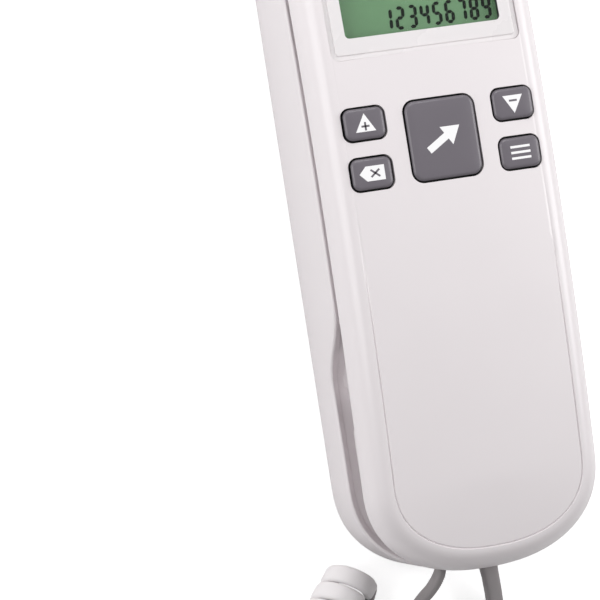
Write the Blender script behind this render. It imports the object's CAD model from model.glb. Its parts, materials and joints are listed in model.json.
import json
import math

import bmesh
import bpy
from mathutils import Matrix, Vector
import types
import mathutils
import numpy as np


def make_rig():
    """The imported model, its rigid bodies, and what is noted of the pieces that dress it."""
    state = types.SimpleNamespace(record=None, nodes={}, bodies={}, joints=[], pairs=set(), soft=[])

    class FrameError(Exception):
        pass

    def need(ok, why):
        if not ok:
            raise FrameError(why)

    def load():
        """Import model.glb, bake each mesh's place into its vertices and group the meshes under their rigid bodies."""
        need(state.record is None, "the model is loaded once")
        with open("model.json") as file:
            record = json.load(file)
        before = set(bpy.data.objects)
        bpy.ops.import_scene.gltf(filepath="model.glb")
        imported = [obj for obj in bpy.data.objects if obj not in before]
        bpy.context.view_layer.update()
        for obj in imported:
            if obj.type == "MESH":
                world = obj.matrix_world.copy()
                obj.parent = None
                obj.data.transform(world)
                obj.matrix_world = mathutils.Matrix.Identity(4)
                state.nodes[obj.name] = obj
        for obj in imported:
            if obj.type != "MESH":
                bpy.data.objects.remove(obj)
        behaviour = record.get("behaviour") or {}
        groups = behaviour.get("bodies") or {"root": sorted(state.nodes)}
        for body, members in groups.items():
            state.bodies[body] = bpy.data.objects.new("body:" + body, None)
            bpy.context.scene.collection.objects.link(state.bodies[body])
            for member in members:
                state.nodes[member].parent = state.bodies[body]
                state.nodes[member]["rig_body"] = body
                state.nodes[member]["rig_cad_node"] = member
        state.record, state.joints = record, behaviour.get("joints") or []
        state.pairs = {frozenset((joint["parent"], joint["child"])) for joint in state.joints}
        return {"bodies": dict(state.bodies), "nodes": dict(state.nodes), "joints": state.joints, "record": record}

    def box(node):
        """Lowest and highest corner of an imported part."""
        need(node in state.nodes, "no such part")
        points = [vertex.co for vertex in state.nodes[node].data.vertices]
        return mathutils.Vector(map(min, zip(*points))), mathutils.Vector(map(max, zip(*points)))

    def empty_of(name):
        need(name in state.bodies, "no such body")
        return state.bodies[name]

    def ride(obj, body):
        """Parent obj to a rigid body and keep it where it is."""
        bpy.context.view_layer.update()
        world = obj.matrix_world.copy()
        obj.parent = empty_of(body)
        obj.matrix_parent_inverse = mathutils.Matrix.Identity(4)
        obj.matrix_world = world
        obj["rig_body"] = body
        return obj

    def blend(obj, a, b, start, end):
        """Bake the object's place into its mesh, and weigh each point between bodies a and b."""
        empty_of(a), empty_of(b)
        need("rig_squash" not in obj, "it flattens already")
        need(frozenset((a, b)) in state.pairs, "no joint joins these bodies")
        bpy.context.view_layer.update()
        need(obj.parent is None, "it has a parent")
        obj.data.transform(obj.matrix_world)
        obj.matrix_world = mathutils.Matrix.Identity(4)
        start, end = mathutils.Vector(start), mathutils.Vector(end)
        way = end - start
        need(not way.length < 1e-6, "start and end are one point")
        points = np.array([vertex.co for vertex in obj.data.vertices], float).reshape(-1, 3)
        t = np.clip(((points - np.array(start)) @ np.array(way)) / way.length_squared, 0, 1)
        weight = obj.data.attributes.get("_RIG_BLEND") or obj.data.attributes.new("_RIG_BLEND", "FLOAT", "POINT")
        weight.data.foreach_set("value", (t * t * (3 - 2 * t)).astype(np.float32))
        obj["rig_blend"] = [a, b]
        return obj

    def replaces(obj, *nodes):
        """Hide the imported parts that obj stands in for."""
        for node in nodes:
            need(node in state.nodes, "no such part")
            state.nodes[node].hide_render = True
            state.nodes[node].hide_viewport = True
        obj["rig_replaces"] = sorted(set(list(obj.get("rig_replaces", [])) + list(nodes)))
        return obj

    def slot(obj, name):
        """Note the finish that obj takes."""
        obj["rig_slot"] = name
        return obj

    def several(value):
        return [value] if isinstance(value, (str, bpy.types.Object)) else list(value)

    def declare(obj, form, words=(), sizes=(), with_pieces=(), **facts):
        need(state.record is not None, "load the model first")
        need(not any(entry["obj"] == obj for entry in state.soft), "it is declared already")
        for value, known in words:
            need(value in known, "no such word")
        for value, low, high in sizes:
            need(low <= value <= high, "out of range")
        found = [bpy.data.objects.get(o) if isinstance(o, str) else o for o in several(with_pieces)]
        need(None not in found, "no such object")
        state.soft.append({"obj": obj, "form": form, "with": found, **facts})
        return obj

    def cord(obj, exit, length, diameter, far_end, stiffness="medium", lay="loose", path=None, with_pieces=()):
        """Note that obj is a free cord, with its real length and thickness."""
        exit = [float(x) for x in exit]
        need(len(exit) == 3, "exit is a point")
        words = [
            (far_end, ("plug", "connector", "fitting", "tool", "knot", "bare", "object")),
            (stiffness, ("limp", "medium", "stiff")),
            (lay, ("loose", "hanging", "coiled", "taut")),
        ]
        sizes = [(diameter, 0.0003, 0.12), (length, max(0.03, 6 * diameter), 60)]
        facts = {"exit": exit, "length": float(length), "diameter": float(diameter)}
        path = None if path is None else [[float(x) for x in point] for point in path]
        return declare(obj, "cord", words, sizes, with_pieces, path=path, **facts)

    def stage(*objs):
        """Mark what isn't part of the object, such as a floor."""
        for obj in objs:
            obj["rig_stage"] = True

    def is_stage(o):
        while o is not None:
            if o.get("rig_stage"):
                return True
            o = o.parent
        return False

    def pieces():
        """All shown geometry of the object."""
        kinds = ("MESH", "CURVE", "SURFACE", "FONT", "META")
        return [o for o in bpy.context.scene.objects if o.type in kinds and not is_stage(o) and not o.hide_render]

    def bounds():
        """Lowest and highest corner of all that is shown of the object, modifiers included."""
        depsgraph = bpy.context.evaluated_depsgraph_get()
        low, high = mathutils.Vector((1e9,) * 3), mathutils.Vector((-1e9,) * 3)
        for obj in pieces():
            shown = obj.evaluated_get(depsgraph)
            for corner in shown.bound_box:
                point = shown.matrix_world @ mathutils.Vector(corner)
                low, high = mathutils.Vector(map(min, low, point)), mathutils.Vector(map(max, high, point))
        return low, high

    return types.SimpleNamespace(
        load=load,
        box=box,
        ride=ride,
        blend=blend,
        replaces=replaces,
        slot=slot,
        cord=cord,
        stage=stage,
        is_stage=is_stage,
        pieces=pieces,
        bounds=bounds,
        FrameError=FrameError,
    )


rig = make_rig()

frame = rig.load()
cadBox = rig.bounds()
nodes = frame["nodes"]
scene = bpy.context.scene
scene.view_settings.view_transform = "Standard"
mm = 0.001
print("frame loaded:", len(nodes), "nodes")


def addObject(name, data):
    added = bpy.data.objects.new(name, data)
    scene.collection.objects.link(added)
    return added


# Camera at the photograph's viewing angle, lens from the size of a pixel at the target
photoView = {
    "target": (-0.0431, -0.02495, 0.040),
    "distance": 0.7,
    "yaw": 15.0,
    "pitch": 0.0,
    "roll": -8.88,
    "pixel": 0.0002587,
    "imageSize": 600,
    "sensor": 36.0,
}


def makeCamera(view):
    yaw, pitch, roll = (math.radians(view[k]) for k in ("yaw", "pitch", "roll"))
    back = Vector((-math.sin(yaw) * math.cos(pitch), math.sin(pitch), math.cos(yaw) * math.cos(pitch)))
    up = (Vector((0, 1, 0)) - back * back.y).normalized()
    right = up.cross(back)
    across = right * math.cos(roll) + up * math.sin(roll)
    upright = up * math.cos(roll) - right * math.sin(roll)
    data = bpy.data.cameras.new("photoCamera")
    data.sensor_width = view["sensor"]
    data.lens = view["distance"] / view["pixel"] * view["sensor"] / view["imageSize"]
    camera = addObject("photoCamera", data)
    turn = Matrix((across, upright, back)).transposed().to_4x4()
    camera.matrix_world = Matrix.Translation(Vector(view["target"]) + back * view["distance"]) @ turn
    scene.camera = camera


makeCamera(photoView)
print("camera placed")


# Materials, all from noise and other nodes on Object coordinates
def srgb(r, g, b):
    def linear(v):
        v /= 255
        return v / 12.92 if v <= 0.04045 else ((v + 0.055) / 1.055) ** 2.4
    return (linear(r), linear(g), linear(b), 1.0)


def link(tree, source, output, target, entry):
    tree.links.new(source.outputs[output], target.inputs[entry])


def setInputs(node, values):
    for entry, value in values.items():
        node.inputs[entry].default_value = value


def newNode(tree, kind, values=()):
    node = tree.nodes.new("ShaderNode" + kind)
    setInputs(node, dict(values))
    return node


def newMaterial(name):
    material = bpy.data.materials.new(name)
    material.use_nodes = True
    return material, material.node_tree, material.node_tree.nodes["Principled BSDF"]


def noiseNode(tree, coords, scale, detail):
    noise = newNode(tree, "TexNoise", {"Scale": scale, "Detail": detail})
    link(tree, coords, "Object", noise, "Vector")
    return noise


def unevenRoughness(tree, shader, noise, roughness, spread):
    ramp = newNode(tree, "MapRange", {"From Min": 0.3, "From Max": 0.7, "To Min": roughness * (1 - spread),
                                      "To Max": roughness * (1 + spread)})
    link(tree, noise, "Fac", ramp, "Value")
    link(tree, ramp, "Result", shader, "Roughness")


def mouldedPlastic(name, colour, roughness, grain, depth, tint, coat=0.0, gloss=0.5):
    material, tree, shader = newMaterial(name)
    coords = newNode(tree, "TexCoord")
    cloudy = noiseNode(tree, coords, scale=45.0, detail=4.0)
    mix = newNode(tree, "Mix")
    mix.data_type = "RGBA"
    setInputs(mix, {"A": tuple(c * (1 - tint) for c in colour[:3]) + (1.0,),
                    "B": tuple(min(c * (1 + tint), 1.0) for c in colour[:3]) + (1.0,)})
    link(tree, cloudy, "Fac", mix, "Factor")
    link(tree, mix, "Result", shader, "Base Color")
    unevenRoughness(tree, shader, cloudy, roughness, spread=0.1)
    sparkle = noiseNode(tree, coords, scale=1.0 / grain, detail=2.0)
    bump = newNode(tree, "Bump", {"Strength": 0.35, "Distance": depth})
    link(tree, sparkle, "Fac", bump, "Height")
    link(tree, bump, "Normal", shader, "Normal")
    setInputs(shader, {"Specular IOR Level": gloss, "Coat Weight": coat, "Coat Roughness": 0.15})
    return material


def brushedMetal(name, colour, roughness):
    material = mouldedPlastic(name, colour, roughness, 0.00025, 0.00002, 0.06)
    setInputs(material.node_tree.nodes["Principled BSDF"], {"Metallic": 1.0})
    return material


def clearPlastic(name, colour, roughness, gloss=0.5):
    material, tree, shader = newMaterial(name)
    setInputs(shader, {"Base Color": colour, "Transmission Weight": 1.0, "IOR": 1.46,
                       "Specular IOR Level": gloss})
    haze = noiseNode(tree, newNode(tree, "TexCoord"), scale=150.0, detail=3.0)
    unevenRoughness(tree, shader, haze, roughness, spread=0.4)
    mix = newNode(tree, "MixShader")
    link(tree, newNode(tree, "LightPath"), "Is Shadow Ray", mix, 0)
    link(tree, shader, "BSDF", mix, 1)
    link(tree, newNode(tree, "BsdfTransparent"), "BSDF", mix, 2)
    link(tree, mix, "Shader", tree.nodes["Material Output"], "Surface")
    return material


def circuitBoard(name):
    # copper tracks under green lacquer
    material = mouldedPlastic(name, srgb(24, 92, 56), 0.35, 0.0004, 0.00002, 0.1)
    tree = material.node_tree
    tracks = newNode(tree, "TexBrick", {"Scale": 220.0, "Mortar Size": 0.03, "Color1": srgb(20, 84, 50),
                                        "Color2": srgb(26, 98, 60), "Mortar": srgb(70, 130, 80)})
    link(tree, newNode(tree, "TexCoord"), "Object", tracks, "Vector")
    link(tree, tracks, "Color", tree.nodes["Principled BSDF"], "Base Color")
    return material


finishes = {
    "shell": mouldedPlastic("whiteShell", srgb(233, 227, 229), 0.34, 0.00035, 0.00002, 0.012, 0.12),
    "bezel": mouldedPlastic("bezelWhite", srgb(231, 227, 228), 0.28, 0.0004, 0.00001, 0.01, 0.15),
    "key": mouldedPlastic("keyGrey", srgb(112, 107, 114), 0.33, 0.0003, 0.00003, 0.04),
    "dial": mouldedPlastic("dialWhite", srgb(226, 224, 222), 0.38, 0.0003, 0.00002, 0.02),
    "print": mouldedPlastic("printWhite", srgb(250, 249, 250), 0.45, 0.0002, 0.00001, 0.01),
    "legend": mouldedPlastic("legendGrey", srgb(70, 70, 74), 0.5, 0.0002, 0.00001, 0.02),
    "rubber": mouldedPlastic("footRubber", srgb(42, 42, 44), 0.75, 0.0004, 0.00006, 0.08),
    "mat": mouldedPlastic("matRubber", srgb(150, 150, 150), 0.7, 0.0004, 0.00004, 0.05),
    "black": mouldedPlastic("blackPlastic", srgb(30, 30, 33), 0.4, 0.0003, 0.00002, 0.05),
    "steel": brushedMetal("zincSteel", srgb(190, 192, 196), 0.35),
    "brass": brushedMetal("sounderBrass", srgb(196, 160, 86), 0.3),
    "gold": brushedMetal("goldContact", srgb(226, 186, 104), 0.22),
    "board": circuitBoard("circuitBoard"),
    "clear": clearPlastic("clearPlug", (0.93, 0.94, 0.95, 1.0), 0.12),
    "lens": clearPlastic("displayLens", (0.97, 0.98, 0.97, 1.0), 0.03, 0.04),
    "panel": mouldedPlastic("liquidCrystal", srgb(80, 116, 81), 0.5, 0.0006, 0.00001, 0.02),
    "segment": mouldedPlastic("segmentBlack", srgb(6, 12, 8), 0.6, 0.0004, 0.00001, 0.05, gloss=0.05),
    "cord": mouldedPlastic("cordVinyl", srgb(241, 237, 238), 0.45, 0.0006, 0.00004, 0.03),
    "cordEnd": mouldedPlastic("cordEndVinyl", srgb(148, 143, 144), 0.45, 0.0006, 0.00004, 0.03),
}
print("materials made:", len(finishes))


# Mesh helpers
past = 1 * mm   # a cutter reaches this far past the wall it opens
hair = 0.01 * mm
sliver = 0.003 * mm
weld = 1e-7
socketCorner = 0.2 * mm
sharpAngle = 38.0
crownSteps = [(0.5, 0.8), (0.35, 0.7), (0.15, 0.5)]   # share of the crown, shrinking of the top


def at(x, y, z=0.0):
    return Matrix.Translation((x, y, z))


def boxMiddle(node):
    low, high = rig.box(node)
    return (low + high) / 2


def meshFrom(name, bm):
    bmesh.ops.recalc_face_normals(bm, faces=bm.faces)
    mesh = bpy.data.meshes.new(name)
    bm.to_mesh(mesh)
    bm.free()
    return mesh


def evaluatedMesh(owner):
    bpy.context.view_layer.update()
    return bpy.data.meshes.new_from_object(owner.evaluated_get(bpy.context.evaluated_depsgraph_get()))


def smooth(mesh, sharp=sharpAngle):
    mesh.shade_smooth()
    mesh.set_sharp_from_angle(angle=math.radians(sharp))


def madePiece(name, bm, finish, body, stands=(), slot=None, sharp=sharpAngle):
    mesh = meshFrom(name, bm)
    smooth(mesh, sharp)
    for key in finish.split():
        mesh.materials.append(finishes[key])
    piece = addObject(name, mesh)
    if body:
        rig.ride(piece, body)
    if stands:
        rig.replaces(piece, *stands)
    if slot:
        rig.slot(piece, slot)
    return piece


def vertsOf(made):
    return [g for g in made if isinstance(g, bmesh.types.BMVert)]


def nextLoop(bm, loop):
    # extrudes a closed loop of vertices and gives the new loop in the same order
    edges = [bm.edges.get((a, b)) for a, b in zip(loop, loop[1:] + loop[:1])]
    fresh = set(vertsOf(bmesh.ops.extrude_edge_only(bm, edges=edges)["geom"]))
    return [next(e.other_vert(v) for e in v.link_edges if e.other_vert(v) in fresh) for v in loop]


def moveFresh(bm, before, place):
    # moves what was added since the vertices in before
    if place:
        bmesh.ops.transform(bm, matrix=place, verts=[v for v in bm.verts if v not in before])


def bevelEdges(bm, edges, offset, segments):
    return bmesh.ops.bevel(bm, geom=list(edges), offset=offset, segments=segments, profile=0.5,
                           affect="EDGES", material=-1)


def addRounded(bm, size, corner, low, high, place=None, segments=8):
    # upright block with rounded corners
    before = set(bm.verts)
    stretch = at(0, 0, (low + high) / 2) @ Matrix.Diagonal((size[0], size[1], high - low, 1))
    cube = bmesh.ops.create_cube(bm, size=1, matrix=stretch)["verts"]
    upright = {e for v in cube for e in v.link_edges if abs(e.verts[0].co.z - e.verts[1].co.z) > sliver}
    bevelEdges(bm, upright, corner, segments)
    moveFresh(bm, before, place)


def addCap(bm, size, corner, low, high, soften, crown, place=None):
    # block with a rounded upper edge and a slightly crowned top
    before = set(bm.verts)
    addRounded(bm, size, corner, low, high)
    fresh = {v for v in bm.verts if v not in before}
    faces = {f for v in fresh for f in v.link_faces}
    top = max(faces, key=lambda f: f.calc_center_median().z)
    made = bevelEdges(bm, top.edges, soften, 5)
    top = max((f for v in made["verts"] for f in v.link_faces), key=lambda f: f.calc_center_median().z)
    middle = Matrix.Translation(-top.calc_center_median())
    for share, shrink in crownSteps if crown else ():
        bmesh.ops.inset_individual(bm, faces=[top], thickness=1e-6)
        bmesh.ops.scale(bm, vec=(shrink, shrink, 1), space=middle, verts=top.verts)
        bmesh.ops.translate(bm, vec=(0, 0, crown * share), verts=top.verts)
    moveFresh(bm, before, place)


def addPrint(bm, corners, low, high, slotIndex=0):
    # flat printed shape with a little thickness, sunk into what carries it
    face = bm.faces.new([bm.verts.new((x, y, low)) for x, y in corners])
    made = bmesh.ops.extrude_face_region(bm, geom=[face])["geom"]
    bmesh.ops.translate(bm, vec=(0, 0, high - low), verts=vertsOf(made))
    for f in {f for v in vertsOf(made) for f in v.link_faces} | {face}:
        f.material_index = slotIndex


def addSpun(bm, profile, place=None, steps=40):
    # profile of radius and height, spun about Z
    before = set(bm.verts)
    verts = [bm.verts.new((r, 0, z)) for r, z in profile]
    edges = [bm.edges.new(pair) for pair in zip(verts, verts[1:])]
    bmesh.ops.spin(bm, geom=verts + edges, cent=(0, 0, 0), axis=(0, 0, 1), angle=2 * math.pi,
                   steps=steps, use_merge=True)
    bmesh.ops.remove_doubles(bm, verts=[v for v in bm.verts if v not in before], dist=weld)
    moveFresh(bm, before, place)


def addRod(bm, radius, low, high, place, steps):
    addSpun(bm, [(0, low), (radius, low), (radius, high), (0, high)], place, steps)


def carve(piece, bm, operation="DIFFERENCE"):
    # cuts the solids in bm out of a piece, or joins them to it, and keeps the cleaned result as its mesh
    cutter = addObject("cutter", meshFrom("cutter", bm))
    modifier = piece.modifiers.new("carve", "BOOLEAN")
    modifier.object = cutter
    modifier.solver = "EXACT"
    modifier.operation = operation
    carved = evaluatedMesh(piece)
    carved.name = piece.name
    clean = bmesh.new()
    clean.from_mesh(carved)
    bmesh.ops.remove_doubles(clean, verts=clean.verts, dist=sliver)
    bmesh.ops.dissolve_degenerate(clean, edges=clean.edges, dist=sliver)
    clean.to_mesh(carved)
    clean.free()
    piece.modifiers.clear()
    piece.data = carved
    bpy.data.objects.remove(cutter)
    smooth(carved)


def textMesh(bm, letters, size, thickness, place):
    data = bpy.data.curves.new("letters", "FONT")
    data.body = letters
    data.size = size
    data.extrude = thickness
    data.align_x = "CENTER"
    data.align_y = "CENTER"
    data.resolution_u = 6
    holder = addObject("letters", data)
    mesh = evaluatedMesh(holder)
    mesh.transform(place)
    bm.from_mesh(mesh)
    bpy.data.objects.remove(holder)
    bpy.data.meshes.remove(mesh)


# Handset cord: two flat ends and the curls between them, laid out on the desk as in the source
cordForm = {
    "width": 4.6 * mm,
    "thick": 2.4 * mm,
    "curlDiameter": 13.6 * mm,
    "lean": math.radians(12),
    "gap": 0.6 * mm,
    "snug": 0.35 * mm,
    "clear": 0.1 * mm,
    "curls": 41,
    "sourceSteps": 8,
    "steps": 32,
    "firstAngle": math.radians(22.5),
    "start": (-32.3 * mm, -101.7 * mm),
    "heading": math.radians(228),
    "stretches": [(13, 0), (29, 42), (58, 0), (88, 180), (90, 0)],
    "fullness": 3.4,
    "sides": 16,
}


def flatSection(form):
    # superellipse, so that the flat cord has rounded edges
    places = []
    for k in range(form["sides"]):
        q = 2 * math.pi * (k + 0.5) / form["sides"]
        x, y = (math.copysign(abs(v) ** (2 / form["fullness"]), v) for v in (math.cos(q), math.sin(q)))
        places.append((form["width"] / 2 * x, form["thick"] / 2 * y))
    return places


def curlLine(form):
    # middle line of the curls, one point a step: place, heading and the turn of the curl
    radius = (form["curlDiameter"] - form["thick"]) / 2
    pitch = (form["width"] + form["gap"]) / math.cos(form["lean"])
    total = form["curls"] * form["steps"] + 3 * form["steps"] // form["sourceSteps"]
    x, y = form["start"]
    heading, run, line = form["heading"], 0.0, []
    for i in range(total + 1):
        line.append((x, y, heading, form["firstAngle"] + 2 * math.pi * i / form["steps"]))
        left, bend = run / mm, 0.0
        for length, turn in form["stretches"]:
            bend = math.radians(turn) / (length * mm)
            if left < length:
                break
            left -= length
        step = pitch / form["steps"] / (1 - radius * bend)
        x += step * math.cos(heading + step * bend / 2)
        y += step * math.sin(heading + step * bend / 2)
        heading += step * bend
        run += step
    return line, radius


def curlPath(form):
    # points of the curls with the direction of the cord's width at each
    line, radius = curlLine(form)
    lean = form["lean"]
    height = (radius * math.cos(lean) + form["clear"]
              + math.hypot(form["thick"] / 2 * math.cos(lean), form["width"] / 2 * math.sin(lean)))
    points, outward = [], []
    for x, y, heading, turn in line:
        along = Vector((math.cos(heading), math.sin(heading), 0))
        side = Vector((-math.sin(heading), math.cos(heading), 0))
        rise = Vector((0, 0, math.cos(lean))) - along * math.sin(lean)
        reach = side * math.cos(turn) + rise * math.sin(turn)
        points.append(Vector((x, y, height)) + reach * radius)
        outward.append(reach)
    return points, outward


def smoothRoute(points, firstWay, lastWay, steps):
    # cubic curve through the points, as in the source
    ways = [firstWay] + [(b - a).normalized() for a, b in zip(points, points[2:])] + [lastWay]
    route = []
    for k in range(len(points) - 1):
        a, b = points[k], points[k + 1]
        reach = (b - a).length
        for i in range(steps):
            f = i / steps
            route.append(a * (2 * f**3 - 3 * f**2 + 1) + ways[k] * reach * (f**3 - 2 * f**2 + f)
                         + b * (3 * f**2 - 2 * f**3) + ways[k + 1] * reach * (f**3 - f**2))
    return route + [points[-1]]


def sweepCord(name, path, ways, widths, form, finish, body, stands):
    # closed flat tube along a path, with the cord's width along the given directions
    section = flatSection(form)
    bm = bmesh.new()
    loop = bmesh.ops.create_circle(bm, segments=len(section), radius=form["thick"])["verts"]
    for i, (point, way, width) in enumerate(zip(path, ways, widths)):
        if i:
            loop = nextLoop(bm, loop)
        u = (width - way * width.dot(way)).normalized()
        v = way.cross(u)
        for vert, (a, b) in zip(loop, section):
            vert.co = point + u * a + v * b
    bmesh.ops.holes_fill(bm, edges=[e for e in bm.edges if e.is_boundary], sides=0)
    return madePiece(name, bm, finish, body, stands, "cord_white", 60.0)


def waysAlong(points, firstWay=None, lastWay=None):
    ways = [(b - a).normalized() for a, b in zip(points[:1] + points[:-1], points[1:] + points[-1:])]
    ways[0] = firstWay or ways[0]
    ways[-1] = lastWay or ways[-1]
    return ways


def lengthOf(points):
    return sum((b - a).length for a, b in zip(points, points[1:]))


curlPoints, curlOut = curlPath(cordForm)
curlWays = waysAlong(curlPoints)
curlWidths = [w.cross(o).normalized() for w, o in zip(curlWays, curlOut)]
curlLead = cordForm["width"]
curlStart = curlPoints[0] - curlWays[0] * curlLead
curlEnd = curlPoints[-1] + curlWays[-1] * curlLead
curlPoints = [curlStart] + curlPoints + [curlEnd]
curlWays = curlWays[:1] + curlWays + curlWays[-1:]
curlWidths = curlWidths[:1] + curlWidths + curlWidths[-1:]
snugForm = dict(cordForm, width=cordForm["width"] + cordForm["snug"])   # the curls nearly touch
curlyCord = sweepCord("curlyCord", curlPoints, curlWays, curlWidths, snugForm, "cord", "base",
                      ["curly_cord"])


def plugMouth(node):
    # where the cord enters a plug, and the plug's size
    low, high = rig.box(node)
    return Vector(((low.x + high.x) / 2, low.y, (low.z + high.z) / 2)), high - low


handPlugMid, handPlugSize = plugMouth("handset_plug")
basePlugMid, basePlugSize = plugMouth("base_plug")
handsetEnd = {
    "steps": 5,
    "route": [(-12.3, -103.2, 23.4), (-13.5, -107, 18.6), (-15.5, -110.8, 12.6), (-17.6, -115.8, 6.2),
              (-18.6, -122, 3), (-18.2, -131, 2.5), (-18.8, -139, 2.5), (-22.8, -144, 2.5),
              (-27, -140.5, 2.5), (-28.4, -132, 2.5), (-28.2, -122, 2.5), (-28.4, -113.4, 3)],
    "lastWidth": (0.2, 0.25, -1),
    "liftFrom": (0, 0, 3.5 * mm),
    "liftTo": (0, 0, 21 * mm),
}
baseEnd = {
    "steps": 7,
    "width": 5.2 * mm,
    "thick": 2.6 * mm,
    "rise": (1, 4, -1.9),
    "route": [(11.4, -131, 2.8), (9.8, -124, 2.3), (8.7, -118, 2.9), (7.9, -112.5, 5.2), (7, -107.8, 7.6)],
    "widths": [(0, -0.4, -0.9), (0.6, 0, -0.8), (0.9, 0, -0.4), (0.92, 0, -0.39), (0.92, 0, -0.39),
               (0.94, 0, -0.34)],
}


def turnWidths(widths, steps):
    turned = []
    for a, b in zip(widths, widths[1:]):
        turned += [a.lerp(b, i / steps) for i in range(steps)]
    return turned + [widths[-1]]


def handsetTail(form):
    knots = [handPlugMid] + [Vector(p) * mm for p in form["route"]] + [curlStart]
    path = smoothRoute(knots, Vector((0, -1, 0)), curlWays[0], form["steps"])
    down = Vector((0, 0, -1))
    widths = turnWidths([down] * (len(knots) - 2) + [Vector(form["lastWidth"]), curlWidths[0]], form["steps"])
    ways = waysAlong(path, Vector((0, -1, 0)), curlWays[0])
    piece = sweepCord("handsetCordEnd", path, ways, widths, cordForm, "cordEnd", None, ["handset_cord_tail"])
    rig.blend(piece, "base", "handset", start=form["liftFrom"], end=form["liftTo"])
    return piece, path


def baseTail(form):
    first = curlEnd + Vector(form["rise"]) * mm
    knots = [curlEnd, first] + [Vector(p) * mm for p in form["route"]] + [basePlugMid]
    path = smoothRoute(knots, curlWays[-1], Vector((0, 1, 0)), form["steps"])
    widths = [curlWidths[-1]] + [Vector(w) for w in form["widths"]] + [Vector((1, 0, 0))]
    ways = waysAlong(path, curlWays[-1], Vector((0, 1, 0)))
    section = dict(cordForm, width=form["width"], thick=form["thick"])
    piece = sweepCord("baseCordEnd", path, ways, turnWidths(widths, form["steps"]), section, "cordEnd",
                      "base", ["base_cord_tail"])
    return piece, path


handsetCordEnd, handsetPath = handsetTail(handsetEnd)
baseCordEnd, basePath = baseTail(baseEnd)
cordFacts = {"diameter": cordForm["width"], "stiffness": "limp"}
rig.cord(handsetCordEnd, exit=handPlugMid, length=lengthOf(handsetPath), far_end="object", lay="loose",
        path=handsetPath, with_pieces=[nodes["handset_plug"]], **cordFacts)
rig.cord(curlyCord, exit=curlPoints[0], length=lengthOf(curlPoints), far_end="object", lay="coiled",
        path=curlPoints, **cordFacts)
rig.cord(baseCordEnd, exit=basePath[0], length=lengthOf(basePath), far_end="object", lay="loose",
        path=basePath, with_pieces=[nodes["base_plug"]], **dict(cordFacts, diameter=baseEnd["width"]))
print("cords laid:", round(lengthOf(handsetPath) + lengthOf(curlPoints) + lengthOf(basePath), 3), "m in all")


# Outline and heights shared by the handset and the base
backLow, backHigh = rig.box("handset_back")
halfWidth, halfLength = backHigh.x, backHigh.y
bodyForm = {
    "endDepth": 26 * mm,
    "endPower": 2.3,
    "wall": 2 * mm,
    "fit": 0.3 * mm,
    "edgeMid": 36.8 * mm,
    "edgeDrop": 7.5 * mm,
    "keypadHalf": 51.5 * mm,
    "slope": 12 * mm,
    "endFollows": 20 * mm,
    "endSteps": 22,
    "sideSteps": 52,
}
straight = halfLength - bodyForm["endDepth"]
wall, fit = bodyForm["wall"], bodyForm["fit"]


def outlinePlaces(inset):
    a = halfWidth - inset
    turn = bodyForm["endFollows"]   # from here in, the ends close evenly towards the spine
    e = bodyForm["endDepth"] - min(inset, turn)
    e *= min(1.0, a / (halfWidth - turn))
    power, endSteps, sideSteps = 2 / bodyForm["endPower"], bodyForm["endSteps"], bodyForm["sideSteps"]

    def endPlace(q, foot):
        x, y = math.cos(q), math.sin(q)
        return (a * abs(x) ** power, foot + e * math.copysign(abs(y) ** power, y))

    right = [endPlace(math.pi / 2 * (k / endSteps - 1), -straight) for k in range(endSteps + 1)]
    right += [(a, straight * (2 * k / sideSteps - 1)) for k in range(1, sideSteps)]
    right += [endPlace(math.pi / 2 * k / endSteps, straight) for k in range(endSteps + 1)]
    return right + [(-x, y) for x, y in reversed(right[1:-1])]


def blendStep(t):
    c = min(max(t, 0.0), 1.0)
    return c * c * (3 - 2 * c)


def partingHeight(y):
    return bodyForm["edgeMid"] - bodyForm["edgeDrop"] * (y / halfLength) ** 2


def quarter(steps):
    return [math.radians(90 * k / steps) for k in range(steps + 1)]


def loft(rings):
    # closed skin over rings of the outline, each drawn in by an inset at a height along Y
    bm = bmesh.new()
    loop = bmesh.ops.create_circle(bm, segments=len(outlinePlaces(0)), radius=halfLength)["verts"]
    for step, (inset, height) in enumerate(rings):
        if step:
            loop = nextLoop(bm, loop)
        for vert, (x, y) in zip(loop, outlinePlaces(inset)):
            vert.co = (x, y, height(y))
    bmesh.ops.remove_doubles(bm, verts=bm.verts, dist=weld)
    return bm


# Handset back: rounded side, fine crease, crowned middle
backForm = {
    "sideRise": 9 * mm,
    "sideIn": 6 * mm,
    "crown": 1.2 * mm,
    "creaseWidth": 0.6 * mm,
    "creaseDepth": 0.32 * mm,
    "creaseShape": [(0.25, 0.6), (0.5, 1.0), (0.75, 0.6)],
    "creaseTop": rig.box("key_erase")[0].y - 1 * mm,
    "creaseFade": 38 * mm,
    "lipRound": 0.4 * mm,
    "underInsets": [24 * mm, 17 * mm, 12 * mm, 8 * mm],
    "topInsets": [8.5 * mm, 11 * mm, 14 * mm, 18 * mm, 23 * mm, 28 * mm],
    "ease": 0.4 * mm,
}


def backRise(inset, thin):
    form = backForm
    reach, rise = form["sideIn"] - thin, form["sideRise"] - thin
    if inset < form["sideIn"]:
        q = min(max((inset - thin) / reach, 0.0), 1.0)
        return rise * math.sqrt(1 - (1 - q) ** 2)
    return rise + form["crown"] * (1 - (1 - (inset - form["sideIn"]) / (halfWidth - form["sideIn"])) ** 2)


def overEdge(rise):
    return lambda y: partingHeight(y) + rise


def creaseFloor(form, depth):
    # the crease runs out below the keys
    def height(y):
        fade = min(max((form["creaseTop"] - y) / form["creaseFade"], 0.0), 1.0)
        return partingHeight(y) + form["sideRise"] - depth * fade * form["creaseDepth"]
    return height


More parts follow.
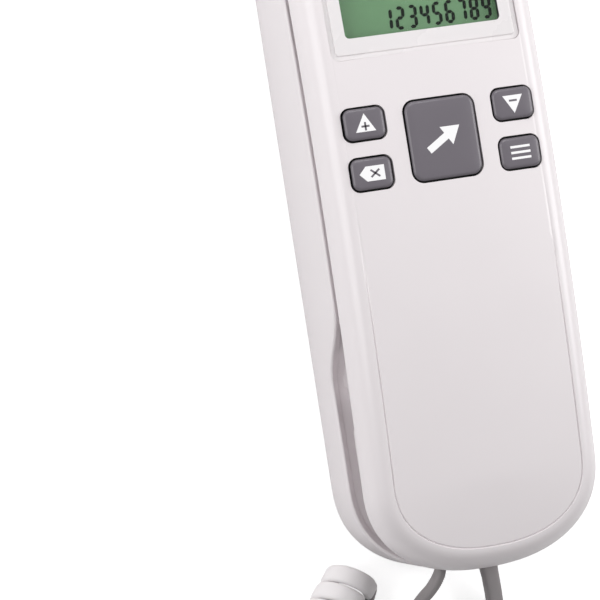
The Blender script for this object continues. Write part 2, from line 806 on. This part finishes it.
def backRings(form):
    rings = [(i, overEdge(backRise(i, wall))) for i in [halfWidth] + form["underInsets"]]
    for q in reversed(quarter(8)):
        i = wall + (form["sideIn"] - wall) * (1 - math.cos(q))
        rings.append((i, overEdge(backRise(i, wall))))
    lip = form["lipRound"]
    rings += [(lip, overEdge(0)), (0.12 * lip, overEdge(0.3 * lip)), (0, overEdge(lip))]
    for q in quarter(16)[1:]:
        i = form["sideIn"] * (1 - math.cos(q))
        if backRise(i, 0) > 1.5 * lip:
            rings.append((i, overEdge(backRise(i, 0))))
    for share, depth in form["creaseShape"]:
        rings.append((form["sideIn"] + share * form["creaseWidth"], creaseFloor(form, depth)))
    flat = form["sideIn"] + form["creaseWidth"]
    for i in [flat, flat + form["ease"]] + form["topInsets"] + [halfWidth]:
        rings.append((i, overEdge(backRise(i, 0))))
    return rings


# Display, tilted to lie along the bowed back
displayForm = {
    "middle": 51.2 * mm,
    "bezel": (52 * mm, 33.5 * mm),
    "window": (42.8 * mm, 22.4 * mm),
    "corner": 2 * mm,
    "drop": 0.4 * mm,
    "thick": 3.2 * mm,
    "rebate": 1.5 * mm,
    "lensEdge": 2.6 * mm,
    "frame": 1.25 * mm,
    "step": 0.35 * mm,
    "edge": 0.2 * mm,
    "raisedEdge": 0.3 * mm,
    "raisedFoot": 0.5 * mm,
    "windowCorner": 1.2 * mm,
    "rebateCorner": 2 * mm,
    "cutFoot": -9 * mm,
    "openingReach": 6 * mm,
    "wallSlope": 0.2,
}
tilt = -math.atan(2 * bodyForm["edgeDrop"] / halfLength**2 * displayForm["middle"])
displayPlace = (at(0, displayForm["middle"], partingHeight(displayForm["middle"]) + backForm["sideRise"])
                @ Matrix.Rotation(tilt, 4, "X"))

backKeys = {
    "key_up": {"corner": 2 * mm},
    "key_down": {"corner": 2 * mm},
    "key_erase": {"corner": 2 * mm},
    "key_menu": {"corner": 2 * mm},
    "key_call": {"corner": 2.8 * mm},
}
keyFlange = 1 * mm
keyGap = 0.5 * mm
keyReach = 5 * mm


def keyPlace(node):
    # middle of a key and the size of its cap
    low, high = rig.box(node)
    return boxMiddle(node), (high.x - low.x - 2 * keyFlange, high.y - low.y - 2 * keyFlange)


def makeHandsetBack():
    piece = madePiece("handsetBack", loft(backRings(backForm)), "shell", "handset", ["handset_back"],
                      "housing_white")
    cuts = bmesh.new()
    for node, form in backKeys.items():
        middle, size = keyPlace(node)
        addRounded(cuts, [s + 2 * keyGap for s in size], form["corner"] + keyGap, backLow.z,
                   backHigh.z + keyReach, at(middle.x, middle.y))
    addRounded(cuts, [s + fit for s in displayForm["bezel"]], displayForm["corner"] + fit,
               -displayForm["openingReach"], displayForm["openingReach"], displayPlace)
    carve(piece, cuts)


makeHandsetBack()
print("handset back made")


# Handset inner half: keypad face, ear and mouth domes
innerForm = {
    "step": 3 * mm,
    "lip": 1.2 * mm,
    "lipIn": 0.4 * mm,
    "seam": 0.1 * mm,
    "round": 7 * mm,
    "keypadHeight": 27 * mm,
    "domeHeight": 16.3 * mm,
    "earHole": 1.1 * mm,
    "earRing": 7 * mm,
    "slot": (1.6 * mm, 5 * mm),
    "slotCorner": 0.7 * mm,
    "boss": (4 * mm, 7.6 * mm),
    "screwSeat": (2.9 * mm, 3.6 * mm),
    "screwHole": 1.6 * mm,
    "lipEdge": 0.3 * mm,
    "lipRound": 0.2 * mm,
    "faceInset": 24 * mm,
    "faceReach": 5 * mm,
    "corner": (1.5 * mm, 1.8 * mm),
    "insideInset": 20 * mm,
    "plug": (6.4 * mm, 9 * mm),
    "plugIn": 2 * mm,
}


def innerLow(y):
    t = blendStep((abs(y) - bodyForm["keypadHalf"]) / bodyForm["slope"])
    return innerForm["keypadHeight"] + t * (innerForm["domeHeight"] - innerForm["keypadHeight"])


def overInner(rise):
    return lambda y: innerLow(y) + rise


def innerRings(form):
    s, r, lip, lipIn = form["step"], form["round"], form["lip"], form["lipIn"]
    edge, ease = form["lipEdge"], form["lipRound"]
    cornerIn, cornerUp = form["corner"]
    rings = [(i, overInner(0)) for i in (halfWidth, form["faceInset"], s + r + form["faceReach"])]
    for q in reversed(quarter(8)):
        rings.append((s + r * (1 - math.cos(q)), overInner(r * (1 - math.sin(q)))))
    rings += [(s, overEdge(-lip - edge)), (s - edge, overEdge(-lip))]
    rings += [(lipIn + ease, overEdge(-lip)), (lipIn, overEdge(-lip + ease))]
    rings += [(lipIn, overEdge(-form["seam"])), (s + wall, overEdge(-form["seam"]))]
    rings += [(s + wall, overInner(r)), (s + wall + cornerIn, overInner(wall + cornerUp))]
    rings += [(i, overInner(wall)) for i in (s + r, form["insideInset"], halfWidth)]
    return rings


dialLetters = ["1", "2", "3", "4", "5", "6", "7", "8", "9", "star", "0", "hash"]
dialForm = {
    "corner": 2.7 * mm,
    "soften": 0.8 * mm,
    "crown": 0.12 * mm,
    "depth": 3.2 * mm,
    "flange": 1.2 * mm,
    "stem": 2 * mm,
    "stemSunk": 1 * mm,
    "size": 4.6 * mm,
    "numeral": 0.03 * mm,
    "starDrop": 0.9 * mm,
}
screwForm = {
    "head": 2.6 * mm,
    "headHeight": 1.2 * mm,
    "dome": [(0, 0), (1.7 * mm, 0.05 * mm), (2.3 * mm, 0.25 * mm), (2.6 * mm, 0.65 * mm)],
    "shank": 1.3 * mm,
    "tip": 0.4 * mm,
    "point": 1 * mm,
    "bar": (2.7 * mm, 0.55 * mm),
    "barCorner": 0.1 * mm,
    "barHeights": (-0.5 * mm, 0.8 * mm),
    "turn": 0.4,
}


def boxCorners(node, inset):
    # the four corners of a node's box, drawn in
    low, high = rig.box(node)
    return [(x, y) for x in (low.x + inset, high.x - inset) for y in (low.y + inset, high.y - inset)]


screwSpots = {node: boxCorners(node, screwForm["head"]) for node in ("base_screws", "handset_screws")}


def makeHandsetInner(form):
    piece = madePiece("handsetInner", loft(innerRings(form)), "shell", "handset", ["handset_inner"],
                      "housing_white")
    bosses, cuts = bmesh.new(), bmesh.new()
    bossRadius, bossTop = form["boss"]
    seatRadius, seat = form["screwSeat"]
    hole, keypad, dome = form["screwHole"], form["keypadHeight"], form["domeHeight"]
    for letter in dialLetters:
        middle, size = keyPlace("dial_" + letter)
        addRounded(cuts, [s + 2 * fit for s in size], dialForm["corner"] + fit, keypad - 2 * past,
                   keypad + wall + past, at(middle.x, middle.y))
    for x, y in screwSpots["handset_screws"]:
        spot = at(x, y, dome)
        addRod(bosses, bossRadius, wall / 2, bossTop, spot, 32)
        addSpun(cuts, [(0, -past), (seatRadius, -past), (seatRadius, seat), (hole, seat),
                       (hole, bossTop + past), (0, bossTop + past)], spot, 32)
    ear, ring = boxMiddle("receiver"), form["earRing"]
    turns = [math.pi / 3 * k for k in range(6)]
    for x, y in [(0, 0)] + [(ring * math.cos(q), ring * math.sin(q)) for q in turns]:
        addRod(cuts, form["earHole"], -past, wall + past, at(ear.x + x, ear.y + y, dome), 20)
    mouth = boxMiddle("microphone")
    addRounded(cuts, form["slot"], form["slotCorner"], dome - past, dome + wall + past, at(mouth.x, mouth.y))
    plugWidth, plugDepth = form["plug"]
    reach = handPlugSize.z / 2 + fit
    addRounded(cuts, (plugWidth + 2 * fit, plugDepth), socketCorner, handPlugMid.z - reach,
               handPlugMid.z + reach, at(handPlugMid.x, handPlugMid.y + form["plugIn"]), 2)
    carve(piece, bosses, "UNION")
    carve(piece, cuts)


makeHandsetInner(innerForm)
print("handset inner half made")


# Base: cradle with a deck, pockets for the domes and a dip in the rim, on a flat cover
baseForm = {
    "floor": 3.5 * mm,
    "pocket": 16 * mm,
    "deck": 24 * mm,
    "rimGap": 3.4 * mm,
    "rimLow": 18.5 * mm,
    "dipMiddle": -39.5 * mm,
    "dip": 19 * mm,
    "rimRound": 0.7 * mm,
    "rimSlope": 1.6 * mm,
    "rimFoot": 0.4 * mm,
    "footStep": 0.04 * mm,
    "fillet": 3.7 * mm,
    "filletRise": 1.2 * mm,
    "edge": 0.3 * mm,
    "underInsets": [22 * mm, 9 * mm],
    "deckInsets": [9 * mm, 16 * mm, 24 * mm],
    "plugDepth": 14 * mm,
    "lineSocket": (9.8 * mm, 14 * mm),
    "lineHeights": (1.55 * mm, 8.45 * mm),
    "sliderRun": 4 * mm,
    "sliderDepth": 12 * mm,
}
plungerForm = {
    "size": (11 * mm, 7 * mm),
    "corner": 2 * mm,
    "soften": 1.1 * mm,
    "crown": 0.2 * mm,
    "flange": 2 * mm,
    "well": 8 * mm,
}


def rimHeight(y):
    form = baseForm
    t = blendStep((y - form["dipMiddle"] + form["dip"] / 2) / form["dip"])
    return form["rimLow"] + t * (partingHeight(y) - innerForm["lip"] - form["rimGap"] - form["rimLow"])


def deckHeight(y):
    t = blendStep((abs(y) - bodyForm["keypadHalf"] + bodyForm["slope"] / 2) / bodyForm["slope"])
    return baseForm["deck"] + t * (baseForm["pocket"] - baseForm["deck"])


def baseRings(form):
    r, slope, foot, edge = form["rimRound"], form["rimSlope"], form["rimFoot"], form["edge"]
    rings = [(i, lambda y: deckHeight(y) - wall) for i in [halfWidth] + form["underInsets"]]
    rings.append((wall + fit, lambda y: min(deckHeight(y), rimHeight(y) - slope - foot) - wall))
    rings += [(i, lambda y: form["floor"]) for i in (wall + fit, edge)]
    rings.append((0, lambda y: form["floor"] + edge))
    for q in quarter(6):
        rings.append((r * (1 - math.cos(q)), lambda y, q=q: rimHeight(y) - r * (1 - math.sin(q))))
    rings.append((r + edge, lambda y: rimHeight(y) - 0.15 * slope))
    rings.append((wall + fit, lambda y: rimHeight(y) - slope))
    for k, q in enumerate(quarter(7)):
        drop = slope + foot + k * form["footStep"]
        rise = form["filletRise"] * (1 - math.sin(q))
        inset = wall + fit + form["fillet"] * (1 - math.cos(q))
        rings.append((inset, lambda y, rise=rise, drop=drop, k=k:
                      deckHeight(y) if k == 7 else min(rimHeight(y) - drop, deckHeight(y) + rise)))
    rings += [(i, deckHeight) for i in form["deckInsets"] + [halfWidth]]
    return rings


def makeBaseHousing(form):
    piece = madePiece("baseHousing", loft(baseRings(form)), "shell", "base", ["base_housing"],
                      "housing_white")
    cuts = bmesh.new()
    addRounded(cuts, [side + 2 * fit for side in plungerForm["size"]], plungerForm["corner"],
               form["deck"] - plungerForm["well"], form["deck"] + past, at(0, boxMiddle("hook_plunger").y))
    reach = basePlugSize.z / 2 + fit
    addRounded(cuts, (basePlugSize.x + 2 * fit, form["plugDepth"]), socketCorner, basePlugMid.z - reach,
               basePlugMid.z + reach, at(basePlugMid.x, -halfLength), 2)
    socketWidth, socketDepth = form["lineSocket"]
    socketLow, socketHigh = (form["floor"] + height for height in form["lineHeights"])
    addRounded(cuts, (socketWidth + 2 * fit, socketDepth), socketCorner, socketLow - fit, socketHigh + fit,
               at(0, halfLength), 2)
    low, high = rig.box("ringer_slider")
    run = form["sliderRun"]
    addRounded(cuts, (form["sliderDepth"], high.y - low.y + run + 2 * fit), socketCorner, low.z - fit,
               high.z + fit, at(halfWidth, (low.y + high.y + run) / 2), 2)
    carve(piece, cuts)


makeBaseHousing(baseForm)
print("base housing made")


# Display: bezel and digits, round the lens and panel of the source
digitForm = {
    "shown": "123456789",
    "right": 20.4 * mm,
    "foot": -10.1 * mm,
    "pitch": 3.44 * mm,
    "width": 2.65 * mm,
    "height": 6.2 * mm,
    "stroke": 0.9 * mm,
    "gap": 0.05 * mm,
    "slant": 0.06,
    "thick": 0.06 * mm,
}
segmentsOf = {"1": "bc", "2": "abged", "3": "abgcd", "4": "fgbc", "5": "afgcd", "6": "afgedc", "7": "abc",
              "8": "abcdefg", "9": "abcdfg"}


def makeBezel(form):
    # lower frame, raised middle, and a dark wall round the window
    top, foot = -form["drop"], -form["drop"] - form["thick"]
    bm, raised, cuts = bmesh.new(), bmesh.new(), bmesh.new()
    addCap(bm, form["bezel"], form["corner"], foot, top - form["step"], form["edge"], 0.0)
    piece = madePiece("displayBezel", bm, "bezel black", "handset", ["display_bezel"], "housing_white")
    addCap(raised, [b - 2 * form["frame"] for b in form["bezel"]], form["corner"] / 2,
           foot + form["raisedFoot"], top, form["raisedEdge"], 0.0)
    carve(piece, raised, "UNION")
    addRounded(cuts, form["window"], form["windowCorner"], form["cutFoot"], past)
    carve(piece, cuts)
    halfX, halfY = (w / 2 + hair for w in form["window"])
    for face in piece.data.polygons:
        x, y = face.center.xy
        if abs(face.normal.z) < form["wallSlope"] and abs(x) < halfX and abs(y) < halfY:
            face.material_index = 1
    cuts = bmesh.new()
    rebate = [w + form["lensEdge"] + 2 * fit for w in form["window"]]
    addRounded(cuts, rebate, form["rebateCorner"], form["cutFoot"], top - form["rebate"])
    carve(piece, cuts)
    piece.data.transform(displayPlace)


def segmentCorners(form, name):
    # bar with pointed ends, by its middle line inside a digit's cell
    w, h, t, g = form["width"], form["height"], form["stroke"], form["gap"]
    l, r, low, mid, high = t / 2, w - t / 2, t / 2, h / 2, h - t / 2
    bars = {"a": (l, high, r, high), "g": (l, mid, r, mid), "d": (l, low, r, low), "f": (l, mid, l, high),
            "b": (r, mid, r, high), "e": (l, low, l, mid), "c": (r, low, r, mid)}
    x0, y0, x1, y1 = bars[name]
    if y0 == y1:
        x0, x1 = x0 + g, x1 - g
        return [(x0, y0), (x0 + t / 2, y0 - t / 2), (x1 - t / 2, y0 - t / 2), (x1, y0),
                (x1 - t / 2, y0 + t / 2), (x0 + t / 2, y0 + t / 2)]
    y0, y1 = y0 + g, y1 - g
    return [(x0, y0), (x0 + t / 2, y0 + t / 2), (x0 + t / 2, y1 - t / 2), (x0, y1),
            (x0 - t / 2, y1 - t / 2), (x0 - t / 2, y0 + t / 2)]


def makeDigits(form):
    bm = bmesh.new()
    panelTop = -displayForm["drop"] - displayForm["thick"]
    for k, digit in enumerate(reversed(form["shown"])):
        left = form["right"] - form["width"] - k * form["pitch"]
        for name in segmentsOf[digit]:
            corners = [(left + x + form["slant"] * y, form["foot"] + y)
                       for x, y in segmentCorners(form, name)]
            addPrint(bm, corners, panelTop - form["thick"], panelTop + form["thick"])
    piece = madePiece("displayDigits", bm, "segment", "handset")
    piece.data.transform(displayPlace)


makeBezel(displayForm)
makeDigits(digitForm)
print("display made")


# Keys on the back with their white marks
keyForm = {
    "soften": 0.95 * mm,
    "crown": 0.16 * mm,
    "depth": 3.6 * mm,
    "flangeShare": 0.25,
    "stem": 2.5 * mm,
    "topSlope": 0.3,
}
markForm = {"proud": 0.02 * mm, "sunk": 0.3 * mm}


def thickLine(x0, y0, x1, y1, width):
    way = Vector((x1 - x0, y1 - y0)).normalized() * width / 2
    return [(x0 - way.y, y0 + way.x), (x0 + way.y, y0 - way.x),
            (x1 + way.y, y1 - way.x), (x1 - way.y, y1 + way.x)]


def markShapes(node):
    # printed shapes of a key in its own millimetres: corners and whether they are white
    if node in ("key_up", "key_down"):
        flip = 1 if node == "key_up" else -1
        triangle = [(-2.75, -2.1 * flip), (2.75, -2.1 * flip), (0, 2.65 * flip)]
        shapes = [(triangle[::flip], True), (thickLine(-1.1, -0.7 * flip, 1.1, -0.7 * flip, 0.52), False)]
        if node == "key_up":
            shapes.append((thickLine(0, -1.8, 0, 0.4, 0.52), False))
        return shapes
    if node == "key_menu":
        return [(thickLine(-2.7, y, 2.7, y, 0.62), True) for y in (-1.5, 0.0, 1.5)]
    if node == "key_erase":
        tag = [(-3.6, 0), (-1.7, -1.95), (3.3, -1.95), (3.3, 1.95), (-1.7, 1.95)]
        return [(tag, True), (thickLine(-0.5, -0.95, 1.9, 0.95, 0.5), False),
                (thickLine(-0.5, 0.95, 1.9, -0.95, 0.5), False)]
    arrow = [(-5.4, -0.95), (0.8, -0.95), (0.8, -2.9), (5.4, 0), (0.8, 2.9), (0.8, 0.95), (-5.4, 0.95)]
    turn = Matrix.Rotation(math.radians(32), 2)
    return [([turn @ Vector(corner) for corner in arrow], True)]


def makeBackKey(node, form):
    low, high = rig.box(node)
    middle, size = keyPlace(node)
    place = at(middle.x, middle.y)
    bm = bmesh.new()
    addCap(bm, size, form["corner"], high.z - keyForm["depth"], high.z - keyForm["crown"], keyForm["soften"],
           keyForm["crown"], place)
    capTop = {face for face in bm.faces if face.normal.z > keyForm["topSlope"]}
    flangeLow = low.z + (high.z - low.z) * keyForm["flangeShare"]
    addRounded(bm, [s + 2 * keyFlange for s in size], form["corner"] + keyFlange, flangeLow,
               high.z - keyForm["depth"], place)
    addRod(bm, keyForm["stem"], low.z, flangeLow, place, 24)
    for face in set(bm.faces) - capTop:
        face.material_index = 1
    name = node.replace("key_", "backKey")
    madePiece(name, bm, "key black", nodes[node]["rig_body"], [node], "key_grey", 50.0)
    bm = bmesh.new()
    for corners, white in markShapes(node):
        proud = markForm["proud"] * (1 if white else 2)
        addPrint(bm, [(middle.x + x * mm, middle.y + y * mm) for x, y in corners],
                 high.z - markForm["sunk"], high.z + proud, 0 if white else 1)
    madePiece(name + "Mark", bm, "print key", nodes[node]["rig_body"])


for node, form in backKeys.items():
    makeBackKey(node, form)
print("back keys made:", len(backKeys))


# Dial keys on the inner face, facing down, with dark numerals
def makeDialKey(letter, form):
    node = "dial_" + letter
    body = nodes[node]["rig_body"]
    low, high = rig.box(node)
    middle, size = keyPlace(node)
    turn = at(middle.x, middle.y, low.z) @ Matrix.Rotation(math.pi, 4, "Y")
    bm = bmesh.new()
    addCap(bm, size, form["corner"], -form["depth"], -form["crown"], form["soften"], form["crown"], turn)
    base = low.z + form["depth"]
    place = at(middle.x, middle.y)
    addRounded(bm, [s + 2 * keyFlange for s in size], form["corner"] + keyFlange, base,
               base + form["flange"], place)
    addRod(bm, form["stem"], base + form["stemSunk"], high.z, place, 24)
    madePiece("dialKey" + letter.capitalize(), bm, "dial", body, [node], "dial_white", 50.0)
    bm = bmesh.new()
    shown = {"star": "*", "hash": "#"}.get(letter, letter)
    lift = at(0, -form["starDrop"] if shown == "*" else 0)
    textMesh(bm, shown, form["size"], form["numeral"], turn @ lift)
    madePiece("dialNumeral" + letter.capitalize(), bm, "legend", body)


for letter in dialLetters:
    makeDialKey(letter, dialForm)
print("dial keys made:", len(dialLetters))


# Hook plunger, base cover, feet, screws and line contacts
def makeHookPlunger(form):
    low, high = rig.box("hook_plunger")
    middle = boxMiddle("hook_plunger")
    place = at(middle.x, middle.y)
    flangeTop = low.z + form["flange"]
    bm = bmesh.new()
    addCap(bm, form["size"], form["corner"], flangeTop, high.z - form["crown"], form["soften"], form["crown"],
           place)
    addRounded(bm, (high.x - low.x, high.y - low.y), form["corner"], low.z, flangeTop, place)
    madePiece("hookPlunger", bm, "shell", "hook", ["hook_plunger"], "housing_white", 50.0)


coverForm = {
    "inset": 0.2 * mm,
    "round": 0.5 * mm,
    "middleInset": 16 * mm,
    "keyhole": (4.3 * mm, 2.2 * mm, 8 * mm),
    "pitch": 101.6 * mm,
    "slot": (1.6 * mm, 14 * mm),
    "slotCorner": 0.7 * mm,
    "slotPitch": 4 * mm,
    "screwSeat": (2.9 * mm, 0.6 * mm),
    "post": 2.5 * mm,
    "postIn": 5 * mm,
    "postSunk": 0.2 * mm,
}


def makeBaseCover(form):
    low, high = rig.box("rubber_feet")[1].z, baseForm["floor"]
    i, r = form["inset"], form["round"]
    middleInset = form["middleInset"]
    levels = [(halfWidth, low), (middleInset, low), (i + r, low), (i + 0.3 * r, low + 0.3 * r), (i, low + r),
              (i, high), (middleInset, high), (halfWidth, high)]
    piece = madePiece("baseCover", loft([(inset, lambda y, z=z: z) for inset, z in levels]), "shell", "base",
                      ["base_cover"], "housing_white")
    cuts, necks, posts = bmesh.new(), bmesh.new(), bmesh.new()
    seatRadius, seat = form["screwSeat"]
    for x, y in screwSpots["base_screws"]:
        addRod(cuts, seatRadius, 0, high - seat, at(x, y), 32)
    head, neck, run = form["keyhole"]
    for y in (-form["pitch"] / 2, form["pitch"] / 2):
        addRod(cuts, head, 0, high + past, at(0, y), 32)
        addRounded(necks, (2 * neck, run + 2 * neck), neck - hair, 0, high + past, at(0, y + run / 2))
    for k in range(-2, 3):
        addRounded(cuts, form["slot"], form["slotCorner"], 0, high + past,
                   at(k * form["slotPitch"], boxMiddle("ringer").y))
    carve(piece, cuts)
    carve(piece, necks)
    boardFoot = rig.box("base_board")[0].z
    for x, y in boxCorners("base_board", form["postIn"]):
        addRod(posts, form["post"], high - form["postSunk"], boardFoot, at(x, y), 24)
    madePiece("boardPosts", posts, "shell", "base")


footForm = {
    "radius": 5 * mm,
    "underside": [(0, 0.12 * mm), (3.2 * mm, 0.12 * mm), (3.4 * mm, 0), (4.4 * mm, 0), (4.85 * mm, 0.2 * mm),
                  (5 * mm, 0.6 * mm)],
}


def makeFeet(form):
    r, h = form["radius"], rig.box("rubber_feet")[1].z
    bm = bmesh.new()
    for x, y in boxCorners("rubber_feet", r):
        addSpun(bm, form["underside"] + [(r, h), (0, h)], at(x, y))
    madePiece("rubberFeet", bm, "rubber", "base", ["rubber_feet"], "foot_rubber", 50.0)


def makeScrews(name, node, body, form):
    low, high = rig.box(node)
    length = high.z - low.z
    bm = bmesh.new()
    profile = form["dome"] + [(form["head"], form["headHeight"]), (form["shank"], form["headHeight"]),
                              (form["shank"], length - form["point"]), (form["tip"], length), (0, length)]
    spots = [at(x, y, low.z) for x, y in screwSpots[node]]
    for spot in spots:
        addSpun(bm, profile, spot, 28)
    piece = madePiece(name, bm, "steel", body, [node], "steel")
    # the two bars of each cross are cut one after the other
    barLow, barHigh = form["barHeights"]
    for turn in (form["turn"], form["turn"] + math.pi / 2):
        bars = bmesh.new()
        for k, spot in enumerate(spots):
            addRounded(bars, form["bar"], form["barCorner"], barLow, barHigh,
                       spot @ Matrix.Rotation(turn + k, 4, "Z"), 2)
        carve(piece, bars)


contactForm = {
    "count": 4,
    "pitch": 1.02 * mm,
    "size": (0.45 * mm, 7 * mm, 0.4 * mm),
    "edge": 0.1 * mm,
    "behind": 5 * mm,
    "below": 2.6 * mm,
    "tilt": math.radians(-17),
}


def makeLineContacts(form):
    # spring wires across the line socket
    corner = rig.box("line_jack")[1]
    bm = bmesh.new()
    for k in range(form["count"]):
        x = (k - (form["count"] - 1) / 2) * form["pitch"]
        place = (at(x, corner.y - form["behind"], corner.z - form["below"])
                 @ Matrix.Rotation(form["tilt"], 4, "X") @ Matrix.Diagonal((*form["size"], 1)))
        bmesh.ops.create_cube(bm, size=1, matrix=place)
    bevelEdges(bm, bm.edges, form["edge"], 2)
    madePiece("lineContacts", bm, "gold", "base")


makeHookPlunger(plungerForm)
makeBaseCover(coverForm)
makeFeet(footForm)
makeScrews("baseScrews", "base_screws", "base", screwForm)
makeScrews("handsetScrews", "handset_screws", "handset", screwForm)
makeLineContacts(contactForm)
print("small pieces made")


# Finishes of the solids that stay as they are
carriedOver = {
    "board": ["base_board", "handset_board"],
    "steel": ["hook_spring", "microphone"],
    "brass": ["ringer"],
    "black": ["hook_switch", "ringer_switch", "line_jack", "base_cord_jack", "handset_cord_jack", "receiver"],
    "key": ["ringer_slider"],
    "mat": ["key_mat", "dial_mat"],
    "panel": ["display_panel"],
    "lens": ["display_window"],
    "clear": ["handset_plug", "base_plug"],
}
for finish, names in carriedOver.items():
    for name in names:
        nodes[name].data.materials.clear()
        nodes[name].data.materials.append(finishes[finish])
print("finishes given to", sum(len(names) for names in carriedOver.values()), "carried-over nodes")


# Floor and light
lightForm = {
    "world": 0.27,
    "floorGlow": 0.6,
    "lamps": {
        "keyLight": {"power": 1.95, "size": 0.4, "place": (0.48, 0.02, 0.34)},
        "topLight": {"power": 1.25, "size": 0.35, "place": (0.02, 0.44, 0.36)},
        "fillLight": {"power": 2.1, "size": 0.5, "place": (-0.52, 0.10, 0.34)},
    },
    "aim": (0.0, 0.0, 0.03),
}


def makeStage(form):
    bm = bmesh.new()
    bmesh.ops.create_grid(bm, x_segments=1, y_segments=1, size=3)
    mesh = bpy.data.meshes.new("deskTop")
    bm.to_mesh(mesh)
    bm.free()
    material, tree, shader = newMaterial("deskWhite")
    setInputs(shader, {"Base Color": (0.86, 0.86, 0.86, 1), "Roughness": 0.9, "Emission Color": (1, 1, 1, 1)})
    rays, seen, glow = (newNode(tree, kind) for kind in ("LightPath", "Math", "Math"))
    seen.operation, glow.operation = "MAXIMUM", "MULTIPLY"
    setInputs(glow, {1: form["floorGlow"]})
    link(tree, rays, "Is Camera Ray", seen, 0)
    link(tree, rays, "Is Transmission Ray", seen, 1)
    link(tree, seen, "Value", glow, 0)
    link(tree, glow, "Value", shader, "Emission Strength")
    mesh.materials.append(material)
    floor = addObject("deskTop", mesh)
    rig.stage(floor)


def makeLight(form):
    world = bpy.data.worlds.new("studio")
    world.use_nodes = True
    tree = world.node_tree
    background = tree.nodes["Background"]
    setInputs(background, {"Color": (1, 1, 1, 1)})
    mix = newNode(tree, "MapRange", {"To Min": form["world"], "To Max": 1.0})
    link(tree, newNode(tree, "LightPath"), "Is Camera Ray", mix, "Value")
    link(tree, mix, "Result", background, "Strength")
    scene.world = world
    aim = Vector(form["aim"])
    for name, values in form["lamps"].items():
        lamp = bpy.data.lights.new(name, "AREA")
        lamp.energy = values["power"]
        lamp.shape = "DISK"
        lamp.size = values["size"]
        light = addObject(name, lamp)
        light.location = values["place"]
        light.rotation_euler = (light.location - aim).to_track_quat("Z", "Y").to_euler()


makeStage(lightForm)
makeLight(lightForm)
print("stage lit")

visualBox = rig.bounds()
with open("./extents.json", "w") as sizes:
    json.dump({"cad": [list(corner) for corner in cadBox], "visual": [list(corner) for corner in visualBox]}, sizes)
print("boxes written")
